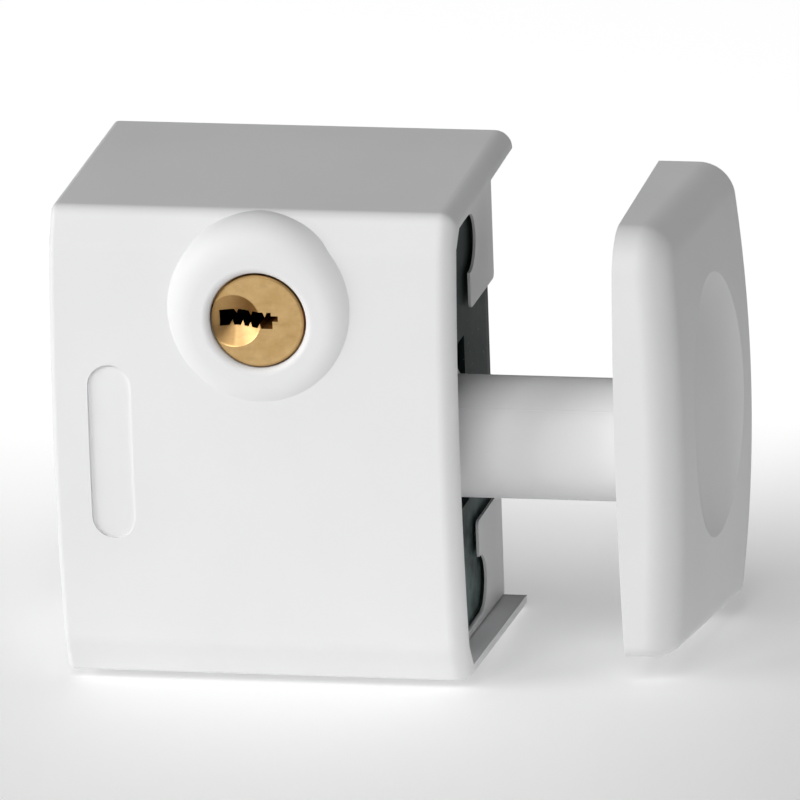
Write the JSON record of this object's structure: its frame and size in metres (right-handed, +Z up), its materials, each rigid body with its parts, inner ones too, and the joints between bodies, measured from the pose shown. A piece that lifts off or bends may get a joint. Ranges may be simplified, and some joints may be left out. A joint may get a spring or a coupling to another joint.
{
  "type": "window lock",
  "caption": "Surface-mounted keyed lock for a sliding window: white housing with a brass cylinder, and a push-in handle plate on a tube that throws a steel bolt.",
  "frame": {"origin": "centre of the four mounting holes, on the back face that lies on the sash", "axes": "+X along the bolt towards the handle plate, +Y into the sash, +Z up"},
  "size_m": [0.0933, 0.0453, 0.072],
  "materials": {
    "white_plastic": "satin white moulding",
    "dark_zinc": "dark painted die casting",
    "zinc_plate": "zinc plated",
    "steel": "turned steel",
    "spring_steel": "drawn wire and strip",
    "brass": "brushed brass",
    "bearing_plastic": "black acetal",
    "rubber": "black rubber"
  },
  "bodies": {
    "case": {"cover": "white_plastic", "side_bezel": "white_plastic", "lock_case": "dark_zinc", "back_plate": "zinc_plate", "latch_cover": "zinc_plate", "guide_rod": "steel", "back_plate_screws": "steel", "bezel_screws": "steel", "latch_cover_screws": "steel", "return_spring": "spring_steel", "latch_spring": "spring_steel", "pin_springs": "spring_steel", "cylinder_clip": "spring_steel", "cylinder_body": "brass", "driver_pins": "brass", "pin_cover": "brass", "bolt_bush": "bearing_plastic", "stem_bush": "bearing_plastic", "stop_buffer": "rubber"},
    "handle": {"bolt": "steel", "bolt_nut": "steel", "handle_stem": "white_plastic", "handle_plate": "white_plastic", "carrier": "zinc_plate", "carrier_pin": "steel"},
    "plug": {"plug": "brass", "key_pins": "brass", "cam": "zinc_plate", "plug_clip": "spring_steel"},
    "latch": {"latch": "zinc_plate"}
  },
  "joints": [
    {"name": "handle_push", "type": "slide", "parent": "case", "child": "handle", "axis": [-1, 0, 0], "range_m": [0, 0.024], "stiffness_N_per_m": 400, "springref_m": -0.02, "deforming": ["return_spring"]},
    {"name": "plug_turn", "type": "hinge", "parent": "case", "child": "plug", "pos_m": [0.0012, -0.03, 0.0196], "axis": [0, 1, 0], "range_deg": [0, 90]},
    {"name": "latch_lift", "type": "slide", "parent": "case", "child": "latch", "axis": [0, 0, 1], "range_m": [0, 0.00244], "deforming": ["latch_spring"]}
  ],
  "couplings": [
    {"joint": "latch_lift", "follows": "plug_turn", "m_per_rad": 0.001547}
  ]
}
